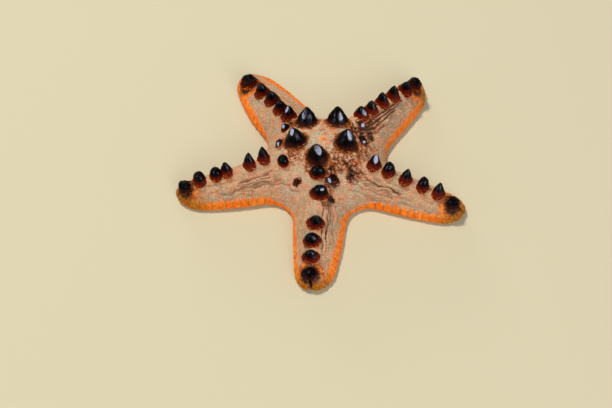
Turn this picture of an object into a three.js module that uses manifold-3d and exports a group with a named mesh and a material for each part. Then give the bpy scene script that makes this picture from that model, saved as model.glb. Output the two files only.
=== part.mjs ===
// A horned sea star at life size, in millimetres. +Z is up and the floor is z = 0.
// Body: five bent arms flowing into a domed disc, from one field; thin arc cuts part the arms from the disc.
import * as THREE from "three";
import { mergeVertices } from "three/addons/utils/BufferGeometryUtils.js";
import Module from "manifold-3d";

const wasm = await Module();
wasm.setup();

// ---- driving dimensions ----
const rimHeight = 3.5; // height of the body's widest line
const underDepth = 5.0; // half height of the rounded edge below that line
const underPower = 3.0;
const sectionPower = 1.42; // 1 is a roof, 2 is an ellipse
const tipPower = 2.25;
const tipShare = 0.137; // share of an arm's length taken by its rounded tip
const rootHalfWidth = 18.9;
const halfWidthTaper = 7.6;
const rootFlare = 2.8;
const flareReach = 0.33;
const rootRidge = 31.1; // height of the ridge where an arm leaves the disc
const tipRidge = 13.9;
const ridgePower = 1.45;
const ridgeDip = 0.3; // how far each ridge sinks towards the disc's middle
const dipReach = 0.13;
const innerReach = 22; // how far an arm's own shape reaches past the middle
const webRadius = 21; // rounding between neighbouring arms
const disc = { y: 2.7, radius: 27.4, height: 32.4, power: 2.3, blend: 5 };
const partingGap = 0.3;
const partingRadius = 36;
const groove = { start: 5, endShare: 0.93, halfWidth: 3.1, height: 5.2, taper: 0.5 };
const mouth = { radius: 8.5, height: 4.6 };
const hornSink = 3.2; // depth of a horn's root below the skin
const hornLean = 0.35; // 0 stands a horn upright, 1 squares it to the skin
const hornAcross = 1.2; // arm horns are wider across the arm than along it
const tone = { skin: 0xb2937a, disc: 0xb4886a, horn: 0x1b110e };

// distance out along the arm, side offset, base radius and height of every horn on an arm
// swells: which side grows, share of the length, reach and amount
const arms = [
  {
    name: "near", angle: 270.3, length: 104.8, bend: -6.5, width: 0.98, height: 0.96, lean: -2.2, parting: 34.7,
    horns: [[41.3, -0.8, 4.9, 9.5], [63.6, -2.0, 4.6, 9.0], [76.2, -3.2, 4.6, 8.5], [87.6, -3.1, 4.5, 8.0], [98.2, -2.8, 3.8, 3.1]],
    knobs: [[26.8, -2.2, 4.3, 8.0], [28.9, -16, 1.8, 2.0], [29.1, 7.6, 3.5, 3.0]],
  },
  {
    name: "right", angle: 332.5, length: 105.8, bend: 8.2, width: 0.92, height: 1.01, lean: -1.5, parting: 34.6,
    horns: [[40.0, -0.4, 4.5, 11.0], [50.7, -0.8, 4.2, 9.2], [63.2, -1.0, 4.2, 10.5], [75.5, -0.7, 4.0, 9.0], [86.4, -0.4, 4.2, 9.8], [97.6, -2.3, 3.9, 2.9]],
    knobs: [[29.2, -12.9, 1.6, 1.0], [23.4, 17.7, 2.2, 3.0]],
  },
  {
    name: "far_right", angle: 38.0, length: 107.0, bend: 15.5, width: 0.93, height: 1.08, lean: 0, parting: 28.7,
    swells: [[-1, 0.36, 0.13, 3.0]],
    horns: [[38.6, 1.0, 4.6, 8.8], [47.8, 0.4, 4.2, 9.2], [59.2, 0.4, 4.4, 11.0], [71.0, 0.2, 4.3, 11.0], [83.4, -1.2, 4.4, 10.5], [93.8, -2.0, 4.3, 6.9], [32.9, -5.2, 2.6, 4.0]],
    knobs: [[25.6, -15.4, 1.9, 2.4]],
  },
  {
    name: "far_left", angle: 116.6, length: 102.2, bend: 10.3, width: 1.1, height: 0.94, lean: 6.0, parting: 30.1,
    swells: [[1, 0.6, 0.2, 2.2], [1, 0.97, 0.12, -1.8]],
    horns: [[35.2, 6.3, 4.4, 10.0], [45.0, 7.1, 4.3, 10.0], [56.8, 6.8, 4.5, 10.5], [68.6, 7.6, 4.5, 10.5], [84.3, 8.0, 4.9, 8.2]],
    knobs: [[26.0, 13.5, 2.7, 5.0]],
  },
  {
    name: "left", angle: 204.0, length: 101.8, bend: -15.5, width: 0.94, height: 1.1, lean: 1.5, parting: 35.7,
    horns: [[41.0, -0.8, 4.2, 11.0], [51.5, 0.0, 4.1, 11.0], [67.2, -0.2, 4.2, 10.0], [74.6, 0.4, 4.0, 7.8], [85.7, 0.4, 4.3, 8.5], [95.6, 1.0, 4.0, 2.9]],
    knobs: [[30.2, 5.8, 3.5, 5.8], [24.6, -13.3, 2.7, 3.4]],
  },
];
// the five great horns round the middle: place, base radius and height
const greatHorns = [
  { name: "near", x: -2.8, y: -15.2, radius: 7.0, height: 14.5 },
  { name: "right", x: 16.8, y: -2.6, radius: 7.5, height: 15.0 },
  { name: "far_right", x: 11.6, y: 18.8, radius: 7.6, height: 13.5 },
  { name: "far_left", x: -9.6, y: 18.9, radius: 7.3, height: 13.5 },
  { name: "left", x: -17.2, y: -1.4, radius: 7.5, height: 14.5 },
];

// ---- the body as a field: below zero is inside ----
const clamp = THREE.MathUtils.clamp;
const power = (n, ...parts) => Math.pow(parts.reduce((sum, p) => sum + Math.pow(Math.abs(p), n), 0), 1 / n);

const halfWidth = (arm, t) =>
  arm.width * (rootHalfWidth - halfWidthTaper * t ** 3 + rootFlare * Math.exp(-((t / flareReach) ** 2)));
const swell = (arm, t, v) =>
  (arm.swells ?? []).reduce((sum, [side, middle, reach, amount]) => sum + (v * side > 0 ? amount * Math.exp(-(((t - middle) / reach) ** 2)) : 0), 0);
const ridge = (arm, t) =>
  arm.height * (tipRidge + (rootRidge - tipRidge) * (1 - t ** ridgePower)) * (1 - ridgeDip * Math.exp(-((t / dipReach) ** 2)));

function armField(arm, x, y, z) {
  const a = THREE.MathUtils.degToRad(arm.angle);
  const u = x * Math.cos(a) + y * Math.sin(a);
  const t = clamp(u / arm.length, 0, 1.2);
  const cap = tipShare * arm.length;
  const past = Math.max(u - (arm.length - cap), 0);
  const behind = Math.max(-u, 0);
  const up = (z - rimHeight) / (ridge(arm, t) - rimHeight);
  const leaning = arm.lean * Math.max(up, 0) * clamp(1 - (past / cap) ** 2, 0, 1) * clamp(u / 30, 0, 1);
  const v = y * Math.cos(a) - x * Math.sin(a) - arm.bend * t * t - leaning;
  const across = v / (halfWidth(arm, t) + swell(arm, t, v));
  const section = up > 0 ? power(sectionPower, across, up) : power(underPower, across, (z - rimHeight) / underDepth);
  const g = Math.max(power(tipPower, section, past / cap, behind / innerReach), 1e-6);
  return Math.hypot(v, z - rimHeight, past, behind) * (1 - 1 / g);
}

function discField(x, y, z) {
  const tall = z > rimHeight ? disc.height - rimHeight : underDepth;
  const g = power(disc.power, Math.hypot(x, y - disc.y) / disc.radius, (z - rimHeight) / tall);
  return Math.hypot(x, y - disc.y, z - rimHeight) * (1 - 1 / Math.max(g, 1e-6));
}

function bodyField(x, y, z) {
  const joined = webRadius - Math.sqrt(arms.reduce((sum, arm) => sum + Math.max(webRadius - armField(arm, x, y, z), 0) ** 2, 0));
  const middle = discField(x, y, z);
  const h = clamp(0.5 + (middle - joined) / (2 * disc.blend), 0, 1);
  return THREE.MathUtils.lerp(middle, joined, h) - disc.blend * h * (1 - h);
}

function root(inside, low, high) {
  for (let i = 0; i < 34; i++) {
    const middle = (low + high) / 2;
    if (inside(middle)) low = middle;
    else high = middle;
  }
  return low;
}
// how far out the body reaches in one direction, and how high it is over one place
function reach(angle, z) {
  let r = 20;
  while (bodyField(r * Math.cos(angle), r * Math.sin(angle), z) < 0) r += 1;
  return root((d) => bodyField(d * Math.cos(angle), d * Math.sin(angle), z) < 0, r - 1, r);
}
const heightOver = (x, y) => root((z) => bodyField(x, y, z) < 0, rimHeight, 60);
function outward(x, y) {
  const z = heightOver(x, y), e = 0.8;
  return new THREE.Vector3(
    bodyField(x + e, y, z) - bodyField(x - e, y, z),
    bodyField(x, y + e, z) - bodyField(x, y - e, z),
    bodyField(x, y, z + e) - bodyField(x, y, z - e),
  ).normalize();
}

// ---- solids ----
function solidOf(geometry) {
  const bare = geometry.index ? geometry.toNonIndexed() : geometry.clone();
  bare.deleteAttribute("normal");
  bare.deleteAttribute("uv");
  const merged = mergeVertices(bare, 1e-4);
  return new wasm.Manifold(
    new wasm.Mesh({ numProp: 3, vertProperties: merged.attributes.position.array, triVerts: new Uint32Array(merged.index.array) }),
  );
}
function geometryOf(solid) {
  const mesh = solid.getMesh();
  const geometry = new THREE.BufferGeometry();
  geometry.setAttribute("position", new THREE.BufferAttribute(new Float32Array(mesh.vertProperties), 3));
  geometry.setIndex(new THREE.BufferAttribute(new Uint32Array(mesh.triVerts), 1));
  geometry.computeVertexNormals();
  return geometry;
}

// directions spread evenly along the outline, closer together where it turns
function outlineAngles(count) {
  const fine = 1440, points = [];
  for (let i = 0; i < fine; i++) {
    const a = (i / fine) * 2 * Math.PI;
    const r = reach(a, rimHeight);
    points.push(new THREE.Vector2(r * Math.cos(a), r * Math.sin(a)));
  }
  const run = [0];
  for (let i = 0; i < fine; i++) {
    const before = points[(i + fine - 1) % fine], here = points[i], after = points[(i + 1) % fine];
    const turn = Math.abs(Math.atan2(after.clone().sub(here).cross(here.clone().sub(before)), after.clone().sub(here).dot(here.clone().sub(before))));
    run.push(run[i] + here.distanceTo(after) + 9 * turn);
  }
  const angles = [];
  for (let k = 0, i = 0; k < count; k++) {
    const want = (k / count) * run[fine];
    while (run[i + 1] < want) i++;
    angles.push(((i + (want - run[i]) / (run[i + 1] - run[i])) / fine) * 2 * Math.PI);
  }
  return angles;
}

// a sphere whose meridians are led to the outline and whose rows climb over the back and close underneath
function bodyGeometry(round, topRows) {
  const rows = topRows + 3;
  const geometry = new THREE.SphereGeometry(1, round, rows);
  geometry.rotateX(Math.PI / 2);
  const place = geometry.attributes.position;
  const angles = outlineAngles(round);
  const rim = angles.map((a) => reach(a, rimHeight));
  const low = angles.map((a) => reach(a, rimHeight * 0.4));
  const floor = angles.map((a) => reach(a, 0));
  for (let row = 0; row <= rows; row++) {
    for (let column = 0; column <= round; column++) {
      const k = column % round, a = angles[k];
      let r, z;
      if (row < topRows) {
        const share = row / topRows;
        r = rim[k] * (0.6 * share ** 0.7 + 0.4 * Math.sin((share * Math.PI) / 2));
        z = heightOver(r * Math.cos(a), r * Math.sin(a));
      } else if (row === topRows) [r, z] = [rim[k], rimHeight];
      else if (row === topRows + 1) [r, z] = [low[k], rimHeight * 0.4];
      else [r, z] = [floor[k] * (rows - row), 0];
      place.setXYZ(row * (round + 1) + column, r * Math.cos(a), r * Math.sin(a), z);
    }
  }
  return geometry;
}

// a furrow's cutter: a round bar laid on the arm's own bent line, thinner towards the tip
function grooveCutter(arm) {
  const geometry = new THREE.CylinderGeometry(1, 1, 1, 8, 7);
  const place = geometry.attributes.position;
  const a = THREE.MathUtils.degToRad(arm.angle);
  for (let i = 0; i < place.count; i++) {
    const share = place.getY(i) + 0.5;
    const u = THREE.MathUtils.lerp(groove.start, groove.endShare * arm.length, share);
    const slim = 1 - groove.taper * share;
    const v = place.getX(i) * groove.halfWidth * slim + arm.bend * (u / arm.length) ** 2;
    place.setXYZ(i, u * Math.cos(a) - v * Math.sin(a), u * Math.sin(a) + v * Math.cos(a), -place.getZ(i) * groove.height * slim);
  }
  return geometry;
}

function partingWall(arm) {
  const half = Math.asin(30 / partingRadius);
  const shape = new THREE.Shape();
  shape.absarc(0, 0, partingRadius + partingGap / 2, Math.PI - half, Math.PI + half, false);
  shape.absarc(0, 0, partingRadius - partingGap / 2, Math.PI + half, Math.PI - half, true);
  const geometry = new THREE.ExtrudeGeometry(shape, { depth: 70, bevelEnabled: false, curveSegments: 4 });
  geometry.translate(arm.parting + partingRadius, 0, -10);
  geometry.rotateZ(THREE.MathUtils.degToRad(arm.angle));
  return geometry;
}

// a horn: a swollen foot, full shoulders and a drawn-out point
function hornGeometry(radius, height, spare, segments, rows) {
  const profile = [new THREE.Vector2(0, -hornSink - spare), new THREE.Vector2(radius * 0.8 + spare, -hornSink - spare)];
  for (let i = 0; i <= rows; i++) {
    const s = i / rows;
    profile.push(new THREE.Vector2(Math.max((radius + spare) * Math.pow(1 - Math.pow(s, 1.35), 0.88), 0), s * (height + spare)));
  }
  const geometry = new THREE.LatheGeometry(profile, segments);
  geometry.rotateX(Math.PI / 2);
  return geometry;
}
function setOn(geometry, x, y, turn, across) {
  geometry.rotateZ(-turn);
  geometry.scale(1, across, 1);
  geometry.rotateZ(turn);
  const up = outward(x, y).multiplyScalar(hornLean).add(new THREE.Vector3(0, 0, 1 - hornLean)).normalize();
  geometry.applyQuaternion(new THREE.Quaternion().setFromUnitVectors(new THREE.Vector3(0, 0, 1), up));
  geometry.translate(x, y, heightOver(x, y));
  return geometry;
}
function armPlace(arm, u, v) {
  const a = THREE.MathUtils.degToRad(arm.angle), side = v + arm.bend * (u / arm.length) ** 2;
  return [u * Math.cos(a) - side * Math.sin(a), u * Math.sin(a) + side * Math.cos(a), a];
}
function armHorn(arm, [u, v, radius, height]) {
  const [x, y, a] = armPlace(arm, u, v);
  const geometry = hornGeometry(radius, height, 0, 8, 3);
  geometry.rotateZ(a);
  return solidOf(setOn(geometry, x, y, a, hornAcross));
}

// ---- assembly ----
let body = solidOf(bodyGeometry(86, 11));
for (const arm of arms) body = body.subtract(solidOf(grooveCutter(arm)));
const mouthCutter = new THREE.SphereGeometry(1, 10, 6);
mouthCutter.scale(mouth.radius, mouth.radius, mouth.height);
body = body.subtract(solidOf(mouthCutter));
for (const arm of arms) body = body.subtract(solidOf(partingWall(arm)));
for (const horn of greatHorns) body = body.subtract(solidOf(setOn(hornGeometry(horn.radius, horn.height, partingGap, 12, 3), horn.x, horn.y, 0, 1)));

const pieces = body.decompose();
const middleOf = (piece) => {
  const box = piece.boundingBox();
  return new THREE.Vector2((box.min[0] + box.max[0]) / 2, (box.min[1] + box.max[1]) / 2);
};
const nearest = (x, y) => pieces.reduce((best, piece) => (middleOf(piece).distanceTo(new THREE.Vector2(x, y)) < middleOf(best).distanceTo(new THREE.Vector2(x, y)) ? piece : best));

const star = new THREE.Group();
function addMesh(name, geometry, color, roughness) {
  const mesh = new THREE.Mesh(geometry, new THREE.MeshStandardMaterial({ color, roughness, metalness: 0 }));
  mesh.name = name;
  star.add(mesh);
}

let centre = nearest(0, 0);
for (const arm of arms) for (const knob of arm.knobs) centre = centre.add(armHorn(arm, knob));
addMesh("disc", geometryOf(centre), tone.disc, 0.6);
for (const arm of arms) {
  const [x, y] = armPlace(arm, 70, 0);
  let limb = nearest(x, y);
  for (const horn of arm.horns) limb = limb.add(armHorn(arm, horn));
  addMesh("arm_" + arm.name, geometryOf(limb), tone.skin, 0.6);
}
for (const horn of greatHorns) {
  const geometry = mergeVertices(setOn(hornGeometry(horn.radius, horn.height, 0, 12, 4), horn.x, horn.y, 0, 1));
  addMesh("horn_" + horn.name, geometry, tone.horn, 0.25);
}

// the frame's origin is under the middle of the whole box
const box = new THREE.Box3().setFromObject(star);
star.position.set(-(box.min.x + box.max.x) / 2, -(box.min.y + box.max.y) / 2, -box.min.z);
const model = new THREE.Group();
model.add(star);

export default model;
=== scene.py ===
# A horned sea star over its CAD frame: one skin, black horns, a coat of granules and the furrows underneath.
# Shapes are worked out in millimetres from the star's middle and go into the meshes in metres.
import math

import bmesh
import bpy
import numpy as np
from mathutils import Matrix, Vector, kdtree, noise


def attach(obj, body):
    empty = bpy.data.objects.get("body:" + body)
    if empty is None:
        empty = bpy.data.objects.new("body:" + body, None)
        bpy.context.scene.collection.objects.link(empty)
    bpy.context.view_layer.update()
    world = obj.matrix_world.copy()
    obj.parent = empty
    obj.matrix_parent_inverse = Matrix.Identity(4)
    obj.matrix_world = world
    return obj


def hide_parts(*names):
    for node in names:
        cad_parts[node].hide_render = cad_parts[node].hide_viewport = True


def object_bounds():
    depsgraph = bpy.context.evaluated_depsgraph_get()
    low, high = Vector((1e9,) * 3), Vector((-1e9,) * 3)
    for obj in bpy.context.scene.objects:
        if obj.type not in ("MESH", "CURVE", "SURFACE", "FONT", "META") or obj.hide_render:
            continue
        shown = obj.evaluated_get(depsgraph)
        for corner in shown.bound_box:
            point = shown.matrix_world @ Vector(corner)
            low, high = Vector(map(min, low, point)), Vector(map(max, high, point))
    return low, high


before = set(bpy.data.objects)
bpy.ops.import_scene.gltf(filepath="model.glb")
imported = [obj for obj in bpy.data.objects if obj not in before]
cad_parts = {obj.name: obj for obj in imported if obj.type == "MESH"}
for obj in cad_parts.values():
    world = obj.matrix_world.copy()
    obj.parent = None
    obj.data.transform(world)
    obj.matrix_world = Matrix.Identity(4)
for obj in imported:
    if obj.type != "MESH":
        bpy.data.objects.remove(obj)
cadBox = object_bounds()
mm = 0.001
dice = np.random.default_rng(11)

# the body's shape, as in the CAD
body = {
    "rimHeight": 3.5, "underDepth": 5.0, "underPower": 3.0, "sectionPower": 1.42,
    "tipPower": 2.25, "tipShare": 0.137, "rootHalfWidth": 18.9, "halfWidthTaper": 7.6,
    "rootFlare": 2.8, "flareReach": 0.33, "rootRidge": 31.1, "tipRidge": 13.9, "ridgePower": 1.45,
    "ridgeDip": 0.3, "dipReach": 0.13, "innerReach": 22.0, "webRadius": 21.0,
    "discY": 2.7, "discRadius": 27.4, "discHeight": 32.4, "discPower": 2.3, "discBlend": 5.0,
    "ceiling": 60.0, "search": (22.0, 118.0),
}
# horns and knobs: distance out along the arm, side offset, foot radius and height
arms = {
    "near": {
        "angle": 270.3, "length": 104.8, "bend": -6.5, "width": 0.98, "height": 0.96, "lean": -2.2,
        "horns": [(41.3, -0.8, 4.9, 9.5), (63.6, -2.0, 4.6, 9.0), (76.2, -3.2, 4.6, 8.5),
                  (87.6, -3.1, 4.5, 8.0), (98.2, -2.8, 3.8, 3.1)],
        "knobs": [(26.8, -2.2, 4.3, 8.0), (28.9, -16, 1.8, 2.0), (29.1, 7.6, 3.5, 3.0)],
    },
    "right": {
        "angle": 332.5, "length": 105.8, "bend": 8.2, "width": 0.92, "height": 1.01, "lean": -1.5,
        "horns": [(40.0, -0.4, 4.5, 11.0), (50.7, -0.8, 4.2, 9.2), (63.2, -1.0, 4.2, 10.5),
                  (75.5, -0.7, 4.0, 9.0), (86.4, -0.4, 4.2, 9.8), (97.6, -2.3, 3.9, 2.9)],
        "knobs": [(29.2, -12.9, 1.6, 1.0), (23.4, 17.7, 2.2, 3.0)],
    },
    "far_right": {
        "angle": 38.0, "length": 107.0, "bend": 15.5, "width": 0.93, "height": 1.08, "lean": 0.0,
        "swells": [(-1, 0.36, 0.13, 3.0)],
        "horns": [(38.6, 1.0, 4.6, 8.8), (47.8, 0.4, 4.2, 9.2), (59.2, 0.4, 4.4, 11.0),
                  (71.0, 0.2, 4.3, 11.0), (83.4, -1.2, 4.4, 10.5), (93.8, -2.0, 4.3, 6.9),
                  (32.9, -5.2, 2.6, 4.0)],
        "knobs": [(25.6, -15.4, 1.9, 2.4)],
    },
    "far_left": {
        "angle": 116.6, "length": 102.2, "bend": 10.3, "width": 1.1, "height": 0.94, "lean": 6.0,
        "swells": [(1, 0.6, 0.2, 2.2), (1, 0.97, 0.12, -1.8)],
        "horns": [(35.2, 6.3, 4.4, 10.0), (45.0, 7.1, 4.3, 10.0), (56.8, 6.8, 4.5, 10.5),
                  (68.6, 7.6, 4.5, 10.5), (84.3, 8.0, 4.9, 8.2)],
        "knobs": [(26.0, 13.5, 2.7, 5.0)],
    },
    "left": {
        "angle": 204.0, "length": 101.8, "bend": -15.5, "width": 0.94, "height": 1.1, "lean": 1.5,
        "horns": [(41.0, -0.8, 4.2, 11.0), (51.5, 0.0, 4.1, 11.0), (67.2, -0.2, 4.2, 10.0),
                  (74.6, 0.4, 4.0, 7.8), (85.7, 0.4, 4.3, 8.5), (95.6, 1.0, 4.0, 2.9)],
        "knobs": [(30.2, 5.8, 3.5, 5.8), (24.6, -13.3, 2.7, 3.4)],
    },
}
# the five great horns round the middle: place, foot radius and height
greatHorns = {
    "near": (-2.8, -15.2, 7.0, 14.5), "right": (16.8, -2.6, 7.5, 15.0), "far_right": (11.6, 18.8, 7.6, 13.5),
    "far_left": (-9.6, 18.9, 7.3, 13.5), "left": (-17.2, -1.4, 7.5, 14.5),
}
furrow = {"start": 5.0, "endShare": 0.93, "halfWidth": 3.5, "height": 5.2, "taper": 0.5}
mouth = {"radius": 8.8, "height": 4.6}


def smoothStep(low, high, x):
    s = np.clip((x - low) / (high - low), 0, 1)
    return s * s * (3 - 2 * s)


def bell(distance, width):
    return np.exp(-((distance / width) ** 2))


def powerSum(n, *parts):
    return sum(np.abs(p) ** n for p in parts) ** (1 / n)


def smoothMax(a, b, reach):
    h = np.clip(0.5 + 0.5 * (a - b) / reach, 0, 1)
    return b + (a - b) * h + reach * h * (1 - h)


def halfWidth(arm, t):
    flare = body["rootFlare"] * bell(t, body["flareReach"])
    return arm["width"] * (body["rootHalfWidth"] - body["halfWidthTaper"] * t**3 + flare)


def swell(arm, t, v):
    # where one side of an arm is fuller or slimmer: side, share of the length, reach and amount
    sides = [np.where(v * side > 0, amount * bell(t - middle, span), 0)
             for side, middle, span, amount in arm.get("swells", [])]
    return sum(sides) if sides else 0


def ridge(arm, t):
    fall = body["tipRidge"] + (body["rootRidge"] - body["tipRidge"]) * (1 - t ** body["ridgePower"])
    return arm["height"] * fall * (1 - body["ridgeDip"] * bell(t, body["dipReach"]))


def along(arm, x, y):
    # distance out along an arm and to the side of its bent line
    a = math.radians(arm["angle"])
    u = x * math.cos(a) + y * math.sin(a)
    t = np.clip(u / arm["length"], 0, 1.2)
    return u, y * math.cos(a) - x * math.sin(a) - arm["bend"] * t * t


def armPlace(arm, u, v):
    a = math.radians(arm["angle"])
    side = v + arm["bend"] * (u / arm["length"]) ** 2
    return u * math.cos(a) - side * math.sin(a), u * math.sin(a) + side * math.cos(a)


def alongOwn(which, x, y):
    # the same distance and side for many points, each on an arm of its own
    u, v = np.zeros(len(x)), np.zeros(len(x))
    for i, arm in enumerate(arms.values()):
        here = which == i
        u[here], v[here] = along(arm, x[here], y[here])
    return u, v


def armField(arm, x, y, z):
    u, v = along(arm, x, y)
    t = np.clip(u / arm["length"], 0, 1.2)
    cap = body["tipShare"] * arm["length"]
    past = np.maximum(u - (arm["length"] - cap), 0)
    behind = np.maximum(-u, 0)
    rise = z - body["rimHeight"]
    up = np.maximum(rise / (ridge(arm, t) - body["rimHeight"]), 0)
    v = v - arm["lean"] * up * np.clip(1 - (past / cap) ** 2, 0, 1) * np.clip(u / 30, 0, 1)
    across = v / (halfWidth(arm, t) + swell(arm, t, v))
    section = np.where(rise > 0, powerSum(body["sectionPower"], across, up),
                       powerSum(body["underPower"], across, rise / body["underDepth"]))
    g = np.maximum(powerSum(body["tipPower"], section, past / cap, behind / body["innerReach"]), 1e-6)
    return np.sqrt(v**2 + rise**2 + past**2 + behind**2) * (1 - 1 / g)


def discField(x, y, z):
    rise = z - body["rimHeight"]
    tall = np.where(rise > 0, body["discHeight"] - body["rimHeight"], body["underDepth"])
    flat = np.hypot(x, y - body["discY"])
    g = np.maximum(powerSum(body["discPower"], flat / body["discRadius"], rise / tall), 1e-6)
    return np.hypot(flat, rise) * (1 - 1 / g)


def bodyField(x, y, z):
    # below zero is inside
    web = body["webRadius"]
    joined = web - np.sqrt(sum(np.maximum(web - armField(arm, x, y, z), 0) ** 2 for arm in arms.values()))
    middle = discField(x, y, z)
    h = np.clip(0.5 + (middle - joined) / (2 * body["discBlend"]), 0, 1)
    return middle + (joined - middle) * h - body["discBlend"] * h * (1 - h)


def edgeBetween(low, high, rounds, fieldAt):
    # halves the way between a place inside and one outside, over and over
    for _ in range(rounds):
        middle = (low + high) / 2
        inside = fieldAt(middle) < 0
        low, high = np.where(inside, middle, low), np.where(inside, high, middle)
    return low


def heightOver(x, y):
    low, high = (np.full(np.shape(x), body[key]) for key in ("rimHeight", "ceiling"))
    return edgeBetween(low, high, 26, lambda z: bodyField(x, y, z))


def reach(angle, z):
    # how far out the body goes in each direction at each height
    c, s = np.cos(angle), np.sin(angle)
    steps = np.arange(*body["search"], 1.0)
    grid = bodyField(np.outer(c, steps), np.outer(s, steps), np.repeat(z[:, None], len(steps), 1))
    high = steps[np.argmax(grid > 0, axis=1)]
    return edgeBetween(high - 1, high, 16, lambda out: bodyField(out * c, out * s, z))


def trench(x, y):
    # how high the furrows and the mouth go above the floor
    def bump(q):
        return np.maximum(0.5 + 0.5 * np.cos(np.pi * np.clip(q, -1, 1)), 0) ** 0.8

    high = mouth["height"] * bump(np.hypot(x, y) / mouth["radius"])
    for arm in arms.values():
        u, v = along(arm, x, y)
        end = furrow["endShare"] * arm["length"]
        slim = 1 - furrow["taper"] * np.clip((u - furrow["start"]) / (end - furrow["start"]), 0, 1)
        gate = smoothStep(furrow["start"] - 4, furrow["start"] + 2, u) * (1 - smoothStep(end - 3, end + 1, u))
        high = np.maximum(high, furrow["height"] * slim * gate * bump(v / (furrow["halfWidth"] * slim)))
    return high


# the outline, and the star's place in the frame
outlineCount = 1440
outlineAngle = np.arange(outlineCount) * 2 * np.pi / outlineCount
outlineReach = reach(outlineAngle, np.full(outlineCount, body["rimHeight"]))
outline = np.stack([outlineReach * np.cos(outlineAngle), outlineReach * np.sin(outlineAngle)], 1)
boxMiddle = (np.array(cadBox[0]) + np.array(cadBox[1]))[:2] / 2 / mm
starMiddle = np.append(boxMiddle - (outline.min(0) + outline.max(0)) / 2, 0.0)
print("star's middle in the frame, mm:", np.round(starMiddle, 2))


def toFrame(points):
    return (np.asarray(points) + starMiddle) * mm


def toStar(points):
    return np.asarray(points) / mm - starMiddle


# the marginal plates are counted from the web out to each tip, and shrink as they go
margin = {
    "pitch": 5.4, "shrink": 0.3, "webTop": 4.8, "top": 7.2, "tooth": 2.5, "seam": 0.4, "swell": 0.3,
    # how much higher the band climbs on the two sides of an arm
    "lift": {"near": (0.8, 0.8), "right": (0.0, 0.0), "far_right": (0.6, 0.6), "far_left": (2.0, 3.2),
             "left": (0.4, 0.4)},
    # where along an arm the mustard tip starts, and how full it is
    "mustard": {"near": (0.85, 1.0), "right": (0.82, 1.0), "far_right": (0.80, 1.0), "far_left": (0.80, 0.4),
                "left": (0.79, 1.0)},
    "rowHeight": 2.1, "rowWidth": 0.45, "rowDepth": 0.2, "seamDepth": 0.3, "sink": 0.1,
}


def marginPlates():
    # for each outline point: share of the way from web to tip, and plate count
    step = np.linalg.norm(outline - np.roll(outline, 1, 0), axis=1)
    run = np.cumsum(step)
    total = run[-1]
    order = sorted(arm["angle"] for arm in arms.values())
    tips, webs = [], []
    for a, b in zip(order, order[1:] + [order[0] + 360]):
        tips.append(int(round(a / 360 * outlineCount)) % outlineCount)
        between = np.arange(int(a / 360 * outlineCount), int(b / 360 * outlineCount)) % outlineCount
        webs.append(between[np.argmin(outlineReach[between])])
    share, count = np.zeros(outlineCount), np.zeros(outlineCount)
    for i, web in enumerate(webs):
        for tip, way in ((tips[i], -1), (tips[(i + 1) % len(tips)], 1)):
            length = (way * (run[tip] - run[web])) % total
            far = (way * (run - run[web])) % total
            here = far <= length
            x = far[here] / length
            plates = round(length / margin["pitch"])
            share[here] = x
            count[here] = plates * (x + margin["shrink"] * x * x) / (1 + margin["shrink"])
    return share, count


plateShare, plateCount = marginPlates()

# the horns' shape, in mm or as shares; a small one gets a paler finish, a tall tip a redder one
hornShape = {
    "sink": 3.2, "root": 0.85, "lean": 0.35, "across": 1.2, "flare": 0.16, "flareReach": 0.14, "sway": 0.05,
    "sharpAndFull": ((1.35, 0.88), (3.2, 0.62)),  # shoulder and fullness of a point and of a dome
    "rough": (0.1, 0.3), "wear": 0.94, "smallBelow": 4.5, "tallTipAbove": 6.0,
}


def slopeOf(field, points, step=0.05):
    here = field(points)
    slope = np.stack([(field(points + step * axis) - here) / step for axis in np.eye(3)], 1)
    return here, slope


def hornList():
    # every horn and knob: its place, foot, height, turn, width across, kind and arm
    rows = [(name, "great", 0, *place, 0.0, 1.0) for name, place in greatHorns.items()]
    for name, arm in arms.items():
        for kind in ("horns", "knobs"):
            for index, (u, v, *foot) in enumerate(arm[kind]):
                rows.append((name, kind, index, *armPlace(arm, u, v), *foot, math.radians(arm["angle"]),
                             hornShape["across"]))
    keys = ("arm", "kind", "index", "x", "y", "radius", "height", "turn", "across")
    found = [dict(zip(keys, row)) for row in rows]
    x, y = np.array([h["x"] for h in found]), np.array([h["y"] for h in found])
    z = heightOver(x, y)
    slope = slopeOf(lambda p: bodyField(p[:, 0], p[:, 1], p[:, 2]), np.stack([x, y, z], 1), 0.8)[1]
    slope /= np.linalg.norm(slope, axis=1)[:, None]
    for horn, height, normal in zip(found, z, slope):
        horn["z"] = height
        axis = hornShape["lean"] * normal + np.array([0, 0, 1 - hornShape["lean"]])
        horn["axis"] = axis / np.linalg.norm(axis)
        last = len(arms[horn["arm"]]["horns"]) - 1
        if horn["arm"] == "far_right":  # its last row is a side horn near the disc
            last -= 1
        horn["tip"] = horn["kind"] == "horns" and horn["index"] == last
        horn["small"] = horn["height"] < hornShape["smallBelow"] and not horn["tip"]
        horn["reach"] = along(arms[horn["arm"]], horn["x"], horn["y"])[0]
    return found


horns = hornList()
print("horns and knobs:", len(horns))

# the skin, in mm but for its counts and its voxels
skin = {
    "round": 720, "rows": 100, "voxel": 0.68 * mm, "coatDepth": 0.35, "edge": 1.3, "lumps": 0.4,
    "wrinkle": 0.55, "creaseDepth": 0.6, "creaseWidth": 0.45, "zoneWidth": 3.6, "collar": 0.75, "socket": 0.9,
    "slit": 2.0, "slitWidth": 0.9, "backEnd": 0.6, "rimEnd": 0.66, "lowest": 0.3,
}
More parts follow.
